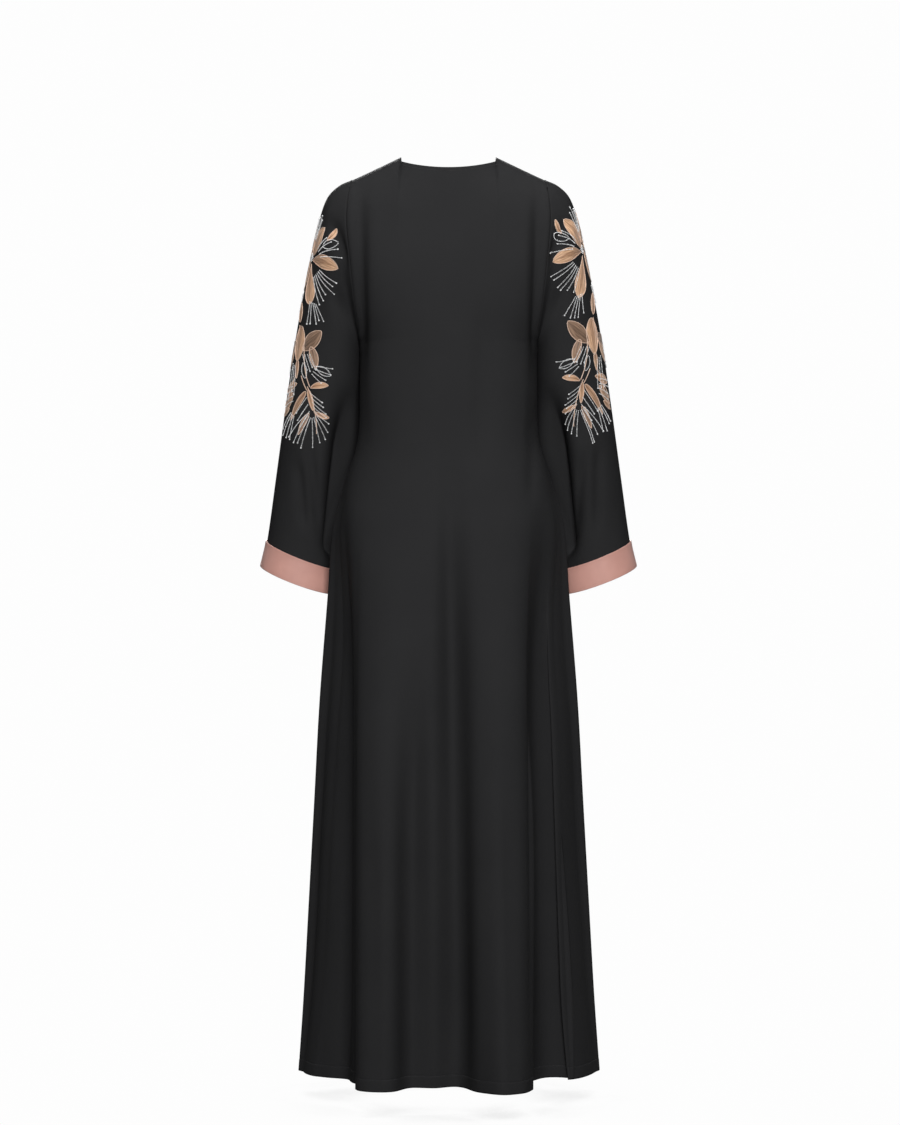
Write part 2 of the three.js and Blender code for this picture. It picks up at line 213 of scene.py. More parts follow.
def armhole_point(turn):
    """The left armhole: an oval in y and z, with x read from its own table by height."""
    z = lerp(ARMHOLE["bottom"], ARMHOLE["top"], (1 + np.cos(turn)) / 2)
    reach = np.where(np.sin(turn) > 0, ARMHOLE["back"], ARMHOLE["front"])
    return np.stack([through(ARMHOLE_X["z"], ARMHOLE_X["x"], z), ARMHOLE["y"] + reach * np.sin(turn), z], -1)


SHOULDER_END = armhole_point(np.array(SHOULDER_TURN))
UNDERARM = armhole_point(np.array(math.pi))


def top_point(u, neck):
    """The top edge of a panel: an oval arc for its half of the neckline, then the straight shoulder seam."""
    x = SHOULDER_END[0] * np.sin(u * math.pi / 2)
    round_ = np.clip(1 - (x / NECK_HALF) ** 2, 0.0, None)
    out = np.clip((np.abs(x) - NECK_HALF) / (SHOULDER_END[0] - NECK_HALF), 0.0, None)
    shoulder_y = lerp(NECK_SEAM_Y, SHOULDER_END[1], out)
    y = np.where(round_ > 0, lerp(NECK_SEAM_Y, neck["y"], np.sqrt(round_)), shoulder_y)
    z = np.where(round_ > 0, -neck["drop"] * round_**NECK_ROUNDNESS, SHOULDER_END[2] * out)
    return np.stack([x, y, z], -1)


def upper_point(u, t, facing):
    """A panel above the underarm level: its top edge carried down to the underarm ring, which is cut off
    where it meets the armhole, with heights and depths that follow the armhole's own."""
    neck = NECK_BACK if facing > 0 else NECK_FRONT
    top = top_point(u, neck)
    edge = armhole_point(lerp(SHOULDER_TURN, facing * math.pi, t))
    back, front, side = (BODY_RINGS[name][0] for name in ("back", "front", "side"))
    reach = back - side if facing > 0 else side - front
    off_side = np.clip(facing * (edge[..., 1] - side) / reach, 0.0, 1.0)
    uncut = math.pi / 2 - np.arcsin(off_side ** (BACK_SQUARENESS / 2 if facing > 0 else 1.0))
    level = np.full_like(u, ARMHOLE["bottom"])
    sideways = lerp(1.0, ROWS_SIDEWAYS, smooth(*LAST_ROWS, t))
    shift = np.sign(u) * np.abs(u) ** sideways * (math.pi / 2 - uncut)
    foot = ring_point(facing * (math.pi / 2 - (u * math.pi / 2 - shift)), level)
    foot_edge = ring_point(facing * (math.pi / 2 - uncut), level)
    fall = (edge[..., 2] - SHOULDER_END[2]) / (ARMHOLE["bottom"] - SHOULDER_END[2])
    if facing > 0:
        down, left, fullness = fall, 1 - fall, BACK_FULLNESS
    else:
        climb = np.clip((top[..., 1] - neck["y"]) / (NECK_SEAM_Y - neck["y"]), 0.0, 1.0)
        down = lerp(t**CHEST_DROP, fall, climb)
        left, fullness = 1 - lerp(down, t, climb), FRONT_FULLNESS
    full = 1 - np.clip(left, 0.0, None) ** fullness
    pull = np.abs(np.sin(u * math.pi / 2)) ** ARMHOLE_PULL
    share = lerp(t, fall, t)
    x = lerp(top[..., 0], foot[..., 0], share) * edge[..., 0]
    x = x / lerp(SHOULDER_END[0], foot_edge[..., 0], share)
    rounded = lerp(neck["y"], SHOULDER_END[1], smooth(0.0, 1.0, np.abs(u)))
    y = lerp(lerp(top[..., 1], rounded, smooth(0.0, NECK_FADE, t)), foot[..., 1], full)
    y = y + (edge[..., 1] - lerp(SHOULDER_END[1], foot_edge[..., 1], full)) * pull
    return np.stack([x, y, lerp(top[..., 2], foot[..., 2], down)], -1)


def creased(grid, out, creases, facing, held):
    """Moves the points that face backwards (facing 1) or forwards (-1) along their outward directions by
    the sum of the creases. A crease is a soft trough (or, with a negative depth, a ridge) along a straight
    line in x and z: its depth falls off as a bell on either side, each side with its own width, and it
    fades in and out at its ends. The share `held` is 0 where the panel is sewn to another."""
    x, z = grid[..., 0], grid[..., 2]
    inwards = np.zeros_like(x)
    for from_x, from_z, to_x, to_z, wide_low, wide_high, depth in creases:
        length = math.hypot(to_x - from_x, to_z - from_z)
        along = ((x - from_x) * (to_x - from_x) + (z - from_z) * (to_z - from_z)) / length**2
        off = ((x - from_x) * (from_z - to_z) + (z - from_z) * (to_x - from_x)) / length
        width = np.where(off < 0, wide_low, wide_high)
        fade = smooth(*CREASE_START, along) * (1 - smooth(*CREASE_END, along))
        inwards += depth * fade * np.exp(-((off / width) ** 2))
    inwards *= smooth(*CREASE_FACING, facing * out[..., 1]) * held
    return grid - out * inwards[..., None]


def body_point(u, v, facing):
    """A point of the body: u from the middle (0) to the left (1) or right (-1) side seam, v from the top
    edge (0) past the underarm level (1) to the hem (2)."""
    upper = upper_point(u, np.clip(v, 0.0, 1.0), facing)
    level = lerp(ARMHOLE["bottom"], HEM_Z, np.clip(v - 1, 0.0, 1.0))
    lower = ring_point(facing * (1 - u) * math.pi / 2, level)
    return np.where((v <= 1)[..., None], upper, lower)


def front_point(u, v, side):
    """One front: the left (side 1) lies a little inside the right (side -1) where they lap."""
    point = body_point(side * u, v, -1)
    if side > 0:
        point[..., 1] += LAP_DEPTH * (1 - smooth(*LAP_BLEND, point[..., 0]))
    return point


def sleeve_point(s, turn):
    """The left sleeve: slanted ovals between its crown line and its under line, which take the armhole's
    outline at the top."""

    def ring(at):
        row = {name: through(SLEEVE_SECTIONS["at"], SLEEVE_SECTIONS[name], at) for name in SLEEVE_SECTIONS}
        out = (1 + np.cos(turn)) / 2
        across = row["depth"] * np.sin(turn)
        x = lerp(row["under_x"], row["crown_x"], out)
        z = lerp(row["under_z"], row["crown_z"], out) - SLEEVE_LEAN * across
        return np.stack([x, lerp(row["under_y"], row["crown_y"], out) + across, z], -1)

    hold = 1 - smooth(0.0, ARMHOLE_FADE, s)
    return ring(s) + (armhole_point(turn) - ring(0 * s)) * hold[..., None]


# ---------------------------------------------------------------------------------------------------
# Meshes from grids of points
# ---------------------------------------------------------------------------------------------------
def outward(grid, closed, side):
    """Unit directions out of a grid: the step across its columns times the step down its rows."""
    if closed:
        across = np.roll(grid, -1, 1) - np.roll(grid, 1, 1)
    else:
        across = np.gradient(grid, axis=1)
    down = np.gradient(grid, axis=0)
    cross = np.cross(across, down) * side
    return cross / np.maximum(np.linalg.norm(cross, axis=-1, keepdims=True), 1e-9)


def steadied(out, v):
    """Rows crowd together at the underarm level, so the directions out of them are blended there from the
    ones just above to the ones just below."""
    rows = v[:, 0]
    first, last = np.searchsorted(rows, CROWDED_ROWS)
    share = np.clip((rows - rows[first]) / (rows[last] - rows[first]), 0.0, 1.0)[:, None, None]
    near = (share > 0) & (share < 1)
    mixed = np.where(near, lerp(out[first], out[last], share), out)
    return mixed / np.linalg.norm(mixed, axis=-1, keepdims=True)


def tucked(grid):
    """The panels' corners at the underarm reach a little under the sleeve, so the three seams meet closed."""
    x, level = grid[..., 0], np.abs(grid[..., 2] - ARMHOLE["bottom"])
    near = smooth(*TUCK_FROM, np.abs(x)) * (1 - smooth(*TUCK_HEIGHT, level))
    grid[..., 0] = x + np.sign(x) * TUCK * near
    return grid


def grid_quads(rows, columns, closed, side):
    """The four corners of every cell of a grid, in the order that makes its face point outwards."""
    r, c = np.meshgrid(np.arange(rows - 1), np.arange(columns if closed else columns - 1), indexing="ij")
    next_c = (c + 1) % columns
    a, b = r * columns + c, r * columns + next_c
    quads = np.stack([a, b, b + columns, a + columns], -1).reshape(-1, 4)
    return quads if side > 0 else quads[:, ::-1]


def make_mesh(name, points, faces, maps=None, attributes=None):
    """A piece at the origin from points in millimetres and faces of four corners."""
    mesh = bpy.data.meshes.new(name)
    mesh.vertices.add(len(points))
    mesh.vertices.foreach_set("co", (np.asarray(points, np.float32) * np.float32(MM)).ravel())
    mesh.loops.add(faces.size)
    mesh.loops.foreach_set("vertex_index", faces.ravel().astype(np.int32))
    mesh.polygons.add(len(faces))
    mesh.polygons.foreach_set("loop_start", np.arange(0, faces.size, faces.shape[1], dtype=np.int32))
    mesh.polygons.foreach_set("loop_total", np.full(len(faces), faces.shape[1], np.int32))
    mesh.update(calc_edges=True)
    mesh.polygons.foreach_set("use_smooth", np.ones(len(faces), bool))
    for map_name, uv in (maps or {}).items():
        layer = mesh.uv_layers.new(name=map_name)
        layer.data.foreach_set("uv", np.asarray(uv, np.float32)[faces.ravel()].ravel())
    for attribute_name, values in (attributes or {}).items():
        layer = mesh.attributes.new(attribute_name, "FLOAT", "POINT")
        layer.data.foreach_set("value", np.asarray(values, np.float32))
    piece = bpy.data.objects.new(name, mesh)
    bpy.context.scene.collection.objects.link(piece)
    return piece


def cloth_map(grid, closed):
    """Where each point lies on the flat cloth, in metres: distances along the columns and down the rows."""
    across = np.linalg.norm(np.diff(grid, axis=1), axis=-1).mean(0)
    down = np.linalg.norm(np.diff(grid, axis=0), axis=-1).mean(1)
    u = np.concatenate([[0], np.cumsum(across)])
    v = np.concatenate([[0], np.cumsum(down)])
    return np.stack(np.meshgrid(u, v), -1) * MM


def uneven(stops, counts):
    """Parameter values between stops, with the given number of steps on each stretch."""
    parts = [np.linspace(a, b, n, endpoint=False) for a, b, n in zip(stops[:-1], stops[1:], counts)]
    return np.concatenate(parts + [[stops[-1]]])


def thicken(piece, wall, offset=-1.0):
    """Gives a shell its thickness, inwards from the face."""
    solidify = piece.modifiers.new("wall", "SOLIDIFY")
    solidify.thickness = wall * MM
    solidify.offset = offset
    solidify.use_even_offset = False


def dressed(piece, material, node):
    """Puts the material on a piece, which then stands for its solid."""
    piece.data.materials.append(material)
    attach(piece, "root")
    if node:
        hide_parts(node)
    return piece


# ---------------------------------------------------------------------------------------------------
# Shader maths
# ---------------------------------------------------------------------------------------------------
class Value:
    """A number that varies over a surface: an output socket whose operators add Math nodes."""

    def __init__(self, shader, socket):
        self.shader = shader
        self.socket = socket

    def maths(self, operation, *values):
        return self.shader.node("ShaderNodeMath", {"operation": operation}, *values)

    def __add__(self, other):
        return self.maths("ADD", self, other)

    __radd__ = __add__

    def __mul__(self, other):
        return self.maths("MULTIPLY", self, other)

    __rmul__ = __mul__

    def __sub__(self, other):
        return self.maths("SUBTRACT", self, other)

    def __rsub__(self, other):
        return self.maths("SUBTRACT", other, self)

    def sine(self):
        return self.maths("SINE", self)


class Shader:
    """A material with one Principled shader, and a method that adds any other node."""

    def __init__(self, name, **settings):
        self.material = bpy.data.materials.new(name)
        self.material.use_nodes = True
        self.tree = self.material.node_tree
        self.surface = next(n for n in self.tree.nodes if n.type == "BSDF_PRINCIPLED")
        for socket, value in settings.items():
            self.surface.inputs[socket.replace("_", " ")].default_value = value

    def node(self, kind, settings=None, *values, output=0, **named):
        """Adds a node, makes its settings, joins or fills its sockets and returns one output."""
        node = self.tree.nodes.new(kind)
        for name, setting in (settings or {}).items():
            setattr(node, name, setting)
        sockets = dict(enumerate(values)) | {name.replace("_", " "): value for name, value in named.items()}
        for name, value in sockets.items():
            if isinstance(value, Value):
                self.tree.links.new(value.socket, node.inputs[name])
            else:
                node.inputs[name].default_value = value
        return Value(self, node.outputs[output])

    def mix(self, share, first, second):
        """A colour between two, by share."""
        node = self.tree.nodes.new("ShaderNodeMix")
        node.data_type = "RGBA"
        for socket, value in zip((node.inputs[0], node.inputs[6], node.inputs[7]), (share, first, second)):
            if isinstance(value, Value):
                self.tree.links.new(value.socket, socket)
            else:
                socket.default_value = value
        return Value(self, node.outputs[2])

    def both_ways(self, flat):
        """The two coordinates of a flat map: across it and along it."""
        node = self.tree.nodes.new("ShaderNodeSeparateXYZ")
        self.tree.links.new(flat.socket, node.inputs[0])
        return Value(self, node.outputs[0]), Value(self, node.outputs[1])

    def feed(self, socket, value):
        self.tree.links.new(value.socket, self.surface.inputs[socket])


def cloth_material():
    """Matt black crepe: a fine crossed weave and a pebbled grain in the bump, and slow changes of shade."""
    shader = Shader("black crepe", Roughness=0.8, Specular_IOR_Level=0.1)
    place = shader.node("ShaderNodeTexCoord", output="Object")
    slow = shader.node("ShaderNodeTexNoise", None, Vector=place, Scale=9.0, Detail=2.0)
    shader.feed("Base Color", shader.mix(slow, (0.0195, 0.0195, 0.0205, 1), (0.0245, 0.0245, 0.0255, 1)))
    flat = shader.node("ShaderNodeUVMap", {"uv_map": "cloth"})
    across, along = shader.both_ways(flat)
    weave = (across * THREADS).sine() * (along * THREADS).sine()
    grain = shader.node("ShaderNodeTexNoise", None, Vector=flat, Scale=700.0, Detail=3.0, Roughness=0.6)
    height = weave * 0.3 + grain
    shader.feed("Normal", shader.node("ShaderNodeBump", None, Strength=0.35, Distance=0.0004, Height=height))
    return shader.material


def cuff_material():
    """Dusty rose satin: fine ribs round the cuff, a soft sheen and slow changes of shade."""
    shader = Shader("rose satin", Roughness=0.5, Sheen_Weight=0.15)
    place = shader.node("ShaderNodeTexCoord", output="Object")
    slow = shader.node("ShaderNodeTexNoise", None, Vector=place, Scale=30.0, Detail=2.0)
    shader.feed("Base Color", shader.mix(slow, (0.56, 0.285, 0.235, 1), (0.70, 0.37, 0.31, 1)))
    flat = shader.node("ShaderNodeUVMap", {"uv_map": "cloth"})
    across, along = shader.both_ways(flat)
    weave = (across * THREADS).sine() * 0.3 + (along * THREADS).sine()
    shader.feed("Normal", shader.node("ShaderNodeBump", None, Strength=0.3, Distance=0.0003, Height=weave))
    return shader.material


def silk_material():
    """Satin stitch: threads run along each petal, pale to bronze by its tone, streaked light and dark at
    random, with painted highlight towards each petal's tip and edges and painted shade at its base and along
    its midrib.
    """
    shader = Shader("embroidery silk", Roughness=0.45, Sheen_Weight=0.2)
    flat = shader.node("ShaderNodeUVMap", {"uv_map": "thread"})
    tone = shader.node("ShaderNodeAttribute", {"attribute_name": "tone"}, output="Fac")
    drawn = shader.node("ShaderNodeMapping", {}, flat, Scale=(420.0, 45.0, 1.0))
    noise = shader.node("ShaderNodeTexNoise", None, Vector=drawn, Scale=1.0, Detail=3.0)
    # The reach attribute carries painted light: painted highlight towards a petal's tip and edges, painted
    # shade at its base and along its low midrib. It is added to the random streaks below.
    reach = shader.node("ShaderNodeAttribute", {"attribute_name": "reach"}, output="Fac")
    streaks_and_painted_light = (noise - 0.5) * 2.6 + reach
    pale = shader.mix(streaks_and_painted_light, (0.36, 0.165, 0.08, 1), (0.98, 0.62, 0.38, 1))
    bronze = shader.mix(streaks_and_painted_light, (0.06, 0.04, 0.03, 1), (0.26, 0.165, 0.115, 1))
    shader.feed("Base Color", shader.mix(tone, pale, bronze))
    across, _ = shader.both_ways(flat)
    threads = (across * (THREADS * 0.5)).sine() * 0.6 + noise
    shader.feed("Normal", shader.node("ShaderNodeBump", None, Strength=0.5, Distance=0.0004, Height=threads))
    return shader.material


def cord_material():
    """Twisted edging cord in a paler rose gold."""
    shader = Shader("edging cord", Roughness=0.4, Sheen_Weight=0.2)
    place = shader.node("ShaderNodeTexCoord", output="Object")
    slow = shader.node("ShaderNodeTexNoise", None, Vector=place, Scale=160.0, Detail=2.0)
    shader.feed("Base Color", shader.mix(slow, (0.62, 0.38, 0.26, 1), (0.98, 0.76, 0.62, 1)))
    twist = shader.node("ShaderNodeTexWave", None, Vector=place, Scale=260.0, Distortion=1.0)
    shader.feed("Normal", shader.node("ShaderNodeBump", None, Strength=0.5, Distance=0.0003, Height=twist))
    return shader.material


def bead_material():
    """Silvery glass seed beads, a little uneven in shade from one to the next."""
    shader = Shader("silver glass", Roughness=0.2, Specular_IOR_Level=0.8)
    shade = shader.node("ShaderNodeAttribute", {"attribute_name": "shade"}, output="Fac")
    shader.feed("Base Color", shader.mix(shade, (0.68, 0.69, 0.70, 1), (1.0, 1.0, 1.0, 1)))
    shader.feed("Roughness", shade * 0.2 + 0.12)
    return shader.material


def thread_material(name, colour):
    """Twisted sewing thread with a slight gloss."""
    shader = Shader(name, Roughness=0.45)
    place = shader.node("ShaderNodeTexCoord", output="Object")
    slow = shader.node("ShaderNodeTexNoise", None, Vector=place, Scale=300.0)
    dark, light = ([share * c for c in colour] + [1] for share in (0.8, 1.2))
    shader.feed("Base Color", shader.mix(slow, dark, light))
    return shader.material


THREADS = 2 * math.pi / 0.0006  # a thread every 0.6 mm
CREPE = cloth_material()
SATIN = cuff_material()
SILK = silk_material()
CORD = cord_material()
GLASS = bead_material()
THREAD = thread_material("black thread", (0.03, 0.03, 0.032))
ROSE_THREAD = thread_material("rose thread", (0.55, 0.28, 0.23))

# ---------------------------------------------------------------------------------------------------
# Panels
# ---------------------------------------------------------------------------------------------------
SEAM_HOLD = 14.0  # creases die out this near to a seam
UNDERARM_HOLD = (30.0, 95.0)  # and a sleeve's between these distances from its underarm
SEAM_ROLL, SEAM_ROLL_WIDTH = 0.6, 1.8
HEM_STITCH, HEM_DOUBLE, HEM_BITE = 1.984, 0.25, 0.3
BODY_ROWS = uneven((0, 0.02, 0.9, 1.0, 1.9815, HEM_STITCH + 0.0025, 2.0), (4, 60, 3, 178, 6, 6))
NECK_SHARE = math.asin(NECK_HALF / SHOULDER_END[0]) / (math.pi / 2)
BACK_COLUMNS = uneven((-1, -0.985, -NECK_SHARE, NECK_SHARE, 0.985, 1), (3, 54, 56, 54, 3))
FRONT_COLUMNS = uneven((-LAP_DEGREES / 90, 0, NECK_SHARE, 0.985, 1), (6, 30, 60, 3))
SLEEVE_ROWS = uneven((0, 0.02, SLEEVE_END_AT), (6, 150))
CUFF_ROWS = uneven((CUFF_AT, CUFF_AT + 0.006, 0.994, 1), (3, 10, 3))
CUFF_STITCH_ROWS = (3, 13)
EDGE_COLUMN = 5  # the front edge is stitched down along this column
SLEEVE_TURNS = np.linspace(-math.pi, math.pi, 144, endpoint=False)


# Creases: from x, z to x, z, the widths on the low-x and the high-x side, and the depth inwards
BACK_CREASES = (
    (-2, -540, -6, -1580, 24, 16, 28.0),
    (52, -850, 46, -1600, 16, 26, 22.0),
    (174, -560, 176, -1580, 18, 56, 34.0),
    (-160, -560, -176, -1580, 50, 30, 40.0),
    (-54, -230, -50, -490, 20, 16, 4.0),
    (138, -50, 134, -330, 12, 12, 7.0),
    (-140, -50, -136, -330, 12, 10, 8.0),
    (120, -90, 114, -440, 40, 13, -6.0),
    (-118, -90, -112, -440, 13, 40, -6.0),
    (-136, -380, -130, -540, 10, 12, 4.0),
    (-92, -940, -104, -1600, 20, 16, 5.0),
    (118, -980, 110, -1600, 16, 18, 5.0),
    (-206, -980, -216, -1520, 12, 12, 5.0),
    (214, -1100, 222, -1560, 12, 12, 4.0),
)
FRONT_CREASES = (
    (-46, -520, -62, -1580, 20, 20, 24.0),
    (72, -600, 78, -1580, 20, 22, 22.0),
    (146, -700, 152, -1580, 20, 30, 20.0),
    (-148, -640, -158, -1580, 30, 20, 22.0),
    (24, -900, 28, -1560, 12, 12, 5.0),
    (118, -70, 92, -300, 14, 14, 5.0),
    (-120, -80, -96, -330, 14, 14, 4.4),
    (108, -300, 128, -470, 12, 12, 4.0),
    (-112, -320, -130, -500, 12, 12, 4.4),
    (-100, -1000, -112, -1560, 12, 10, 5.0),
    (112, -1050, 116, -1560, 10, 12, 4.0),
)
SLEEVE_BACK_CREASES = {
    1: (
        (156, -370, 176, -690, 16, 24, 34.0),
        (189, -93, 150, -170, 10, 10, 5.6),
        (182, -200, 142, -330, 11, 9, 6.0),
        (238, -470, 228, -580, 8, 9, 5.0),
        (219, -440, 205, -590, 9, 9, 5.4),
        (222, -350, 206, -470, 14, 14, 3.4),
    ),
    -1: (
        (-158, -370, -182, -690, 24, 16, 38.0),
        (-189, -93, -150, -170, 10, 10, 5.4),
        (-184, -190, -146, -320, 9, 11, 6.4),
        (-213, -460, -201, -590, 9, 8, 5.4),
        (-238, -440, -236, -590, 9, 9, 4.8),
        (-214, -330, -204, -450, 14, 14, 3.6),
    ),
}
SLEEVE_FRONT_CREASES = {
    1: (
        (160, -340, 190, -640, 16, 16, 18.0),
        (196, -110, 158, -190, 10, 10, 5.0),
        (206, -200, 168, -340, 11, 11, 6.0),
        (246, -400, 226, -590, 10, 10, 5.0),
    ),
    -1: (
        (-160, -350, -194, -640, 16, 16, 20.0),
        (-198, -120, -160, -200, 10, 10, 5.2),
        (-202, -220, -166, -360, 11, 11, 5.4),
        (-248, -390, -224, -590, 10, 10, 5.4),
    ),
}


HEM_EASE, HEM_BITE_WIDTH = 0.0015, 0.0011  # as shares of the way from the underarm level to the hem


def off_edge(grid, edge, axis):
    """How far each point stands from the first (0) or last (-1) point of its row (axis 1) or column (0)."""
    return np.linalg.norm(grid - np.take(grid, [edge], axis), axis=-1)


def off_armhole(grid, side):
    """How far each point stands from the nearest of many points round one armhole."""
    curve = armhole_point(np.linspace(-math.pi, math.pi, 120, endpoint=False)) * (side, 1, 1)
    away = grid.astype(np.float32)[:, :, None] - curve.astype(np.float32)
    return np.sqrt(np.min(np.sum(away * away, -1), -1))


def finished(grid, out, v, away):
    """Rolls a body panel in a little at its seams, and turns its hem up: double cloth below the row of
    stitches, which bite into it."""
    lift = HEM_DOUBLE * smooth(HEM_STITCH, HEM_STITCH + HEM_EASE, v)
    lift -= HEM_BITE * np.exp(-(((v - HEM_STITCH) / HEM_BITE_WIDTH) ** 2))
    lift -= SEAM_ROLL * np.exp(-((away / SEAM_ROLL_WIDTH) ** 2))
    return grid + out * lift[..., None]


def make_back():
    v, u = np.meshgrid(BODY_ROWS, BACK_COLUMNS, indexing="ij")
    grid = body_point(u, v, 1)
    sides = off_edge(grid, 0, 1), off_edge(grid, -1, 1)
    away = np.minimum.reduce([*sides, off_armhole(grid, 1), off_armhole(grid, -1)])
    out = steadied(outward(grid, False, 1), v)
    held = smooth(0.0, SEAM_HOLD, np.minimum(away, off_edge(grid, 0, 0)))
    grid = creased(grid, out, BACK_CREASES, 1, held)
    grid = tucked(finished(grid, out, v, away))
    rows, columns = u.shape
    piece = make_mesh("back_cloth", grid.reshape(-1, 3), grid_quads(rows, columns, False, 1),
                      {"cloth": cloth_map(grid, False).reshape(-1, 2)})
    thicken(piece, WALL)
    dressed(piece, CREPE, "back")
    return grid


def make_front(side):
    v, u = np.meshgrid(BODY_ROWS, FRONT_COLUMNS, indexing="ij")
    grid = front_point(u, v, side)
    away = np.minimum(off_edge(grid, -1, 1), off_armhole(grid, side))
    out = steadied(outward(grid, False, -side), v)
    held = smooth(0.0, SEAM_HOLD, np.minimum(away, off_edge(grid, 0, 0)))
    grid = creased(grid, out, FRONT_CREASES, -1, held)
    grid = tucked(finished(grid, out, v, away))
    rows, columns = u.shape
    name = "front_left" if side > 0 else "front_right"
    piece = make_mesh(name + "_cloth", grid.reshape(-1, 3), grid_quads(rows, columns, False, -side),
                      {"cloth": cloth_map(grid, False).reshape(-1, 2)})
    thicken(piece, WALL)
    dressed(piece, CREPE, name)
    return grid


def make_sleeve(side):
    s, turn = np.meshgrid(SLEEVE_ROWS, SLEEVE_TURNS, indexing="ij")
    grid = sleeve_point(s, turn) * (side, 1, 1)
    out = outward(grid, True, -side)
    away = off_edge(grid, 0, 0)
    off_underarm = np.linalg.norm(grid - UNDERARM * (side, 1, 1), axis=-1)
    held = smooth(0.0, SEAM_HOLD, away) * smooth(*UNDERARM_HOLD, off_underarm)
    held *= 1 - CUFF_CALM * smooth(CUFF_AT - CUFF_CALM_LENGTH, CUFF_AT, s)
    grid = creased(grid, out, SLEEVE_BACK_CREASES[side], 1, held)
    grid = creased(grid, out, SLEEVE_FRONT_CREASES[side], -1, held)
    grid = grid - out * (SEAM_ROLL * np.exp(-((away / SEAM_ROLL_WIDTH) ** 2)))[..., None]
    rows, columns = s.shape
    name = "sleeve_left" if side > 0 else "sleeve_right"
    piece = make_mesh(name + "_cloth", grid.reshape(-1, 3), grid_quads(rows, columns, True, -side),
                      {"cloth": cloth_map(grid, True).reshape(-1, 2)})
    thicken(piece, WALL)
    dressed(piece, CREPE, name)
    return grid


def make_cuff(side):
    s, turn = np.meshgrid(CUFF_ROWS, SLEEVE_TURNS, indexing="ij")
    grid = sleeve_point(s, turn) * (side, 1, 1)
    grid = grid + CUFF_PROUD * outward(grid, True, -side)
    rows, columns = s.shape
    name = "cuff_left" if side > 0 else "cuff_right"
    piece = make_mesh(name + "_band", grid.reshape(-1, 3), grid_quads(rows, columns, True, -side),
                      {"cloth": cloth_map(grid, True).reshape(-1, 2)})
    thicken(piece, CUFF_WALL)
    dressed(piece, SATIN, name)
    return grid


back = make_back()
fronts = {side: make_front(side) for side in (1, -1)}
sleeves = {side: make_sleeve(side) for side in (1, -1)}
cuffs = {side: make_cuff(side) for side in (1, -1)}

# ---------------------------------------------------------------------------------------------------
# Embroidery: motifs on a flat pattern, carried onto the sleeves
# ---------------------------------------------------------------------------------------------------
# A pattern point is a, the distance round the sleeve from its crown line, positive towards the back, and
# b, the distance down the crown line from the shoulder. A heading is in degrees from straight down,
# turning towards the back.
PATTERN_A = np.arange(-150.0, 151.0, 2.0)
PATTERN_B = np.arange(40.0, 461.0, 2.0)
PETALS = (  # a, b, heading, length, width, widest at, bend, tone: 0 pale to 1 bronze
    (22, 130, 146, 62, 25, 0.50, -14, 0.0),
    (27, 136, 84, 66, 21, 0.60, -26, 0.2),
    (24, 142, 22, 64, 28, 0.68, 6, 0.0),
    (12, 134, -28, 60, 26, 0.62, -10, 0.1),
    (8, 128, -82, 58, 24, 0.55, 16, 0.05),
    (14, 122, -142, 56, 24, 0.50, 12, 0.2),
    (66, 100, 160, 25, 9, 0.55, 46, 0.1),
    (44, 276, 143, 50, 23, 0.50, 10, 0.85),
    (30, 240, 4, 58, 30, 0.45, -4, 0.05),
    (60, 268, 24, 36, 14, 0.45, -26, 0.7),
    (35, 294, 6, 28, 9, 0.40, 8, 0.3),
    (24, 268, -66, 48, 20, 0.50, -12, 0.8),
    (16, 274, -22, 46, 19, 0.50, 14, 0.1),
    (22, 236, -150, 36, 16, 0.50, 12, 0.35),
    (70, 331, 106, 30, 9, 0.55, -34, 0.15),
    (62, 338, -27, 60, 9, 0.40, 14, 0.45),
    (66, 334, 16, 34, 8, 0.45, 4, 0.3),
    (80, 366, 78, 28, 8, 0.55, 16, 0.2),
    (72, 370, -16, 42, 8, 0.45, 6, 0.75),
    (42, 330, -64, 36, 14, 0.55, 14, 0.1),
    (36, 346, -34, 42, 13, 0.50, -8, 0.4),
    (30, 372, -52, 26, 9, 0.50, 18, 0.2),
    (28, 342, -4, 24, 9, 0.50, -16, 0.15),
)
SPRAYS = (  # first line's a, b, last line's a, b, lines, first and last heading, first and last length, bend
    (40, 160, 54, 147, 6, 32, 70, 44, 46, 8),
    (40, 118, 52, 128, 4, 134, 98, 34, 44, -10),
    (42, 198, 56, 200, 5, 4, 42, 36, 34, -8),
    (26, 106, 14, 104, 4, 158, 184, 44, 40, 6),
    (2, 150, -12, 140, 5, -36, -70, 42, 44, -8),
    (4, 116, -6, 122, 4, -132, -98, 36, 40, 10),
    (6, 190, -8, 192, 4, -10, -38, 34, 32, 8),
    (45, 282, 61, 278, 4, 34, 38, 32, 26, 0),
    (69, 308, 73, 295, 4, 58, 94, 26, 32, 6),
    (20, 300, 32, 304, 3, 2, 8, 54, 46, -4),
    (4, 288, -6, 282, 3, -26, -40, 34, 32, 6),
    (-16, 302, -20, 289, 4, -60, -94, 28, 32, -6),
    (69, 338, 79, 364, 5, 66, 60, 27, 30, 4),
    (65, 346, 73, 366, 3, -28, -24, 40, 34, 0),
    (69, 372, 76, 375, 4, -32, -8, 50, 56, 6),
    (78, 375, 85, 370, 4, 12, 42, 46, 34, -8),
    (40, 358, 34, 336, 4, -58, -74, 30, 28, 6),
    (38, 376, 46, 380, 4, -34, -6, 40, 44, 4),
)
STEMS = (  # a, b, heading, length, bend
    (47, 270, 20, 64, 24),
    (64, 330, 20, 74, -28),
    (50, 316, 34, 24, 10),
    (36, 318, -28, 60, -10),
    (24, 240, 10, 40, 30),
)
LOOPS = (  # a, b, heading, length, width of a leaf outlined in beads
    (50, 296, 22, 24, 10),
    (76, 296, 72, 26, 12),
    (58, 110, 112, 30, 14),
    (0, 302, -30, 26, 11),
    (-6, 108, -112, 28, 13),
)
FLOWER_HEART = (20.0, 132.0)
HEART_BEADS = 22
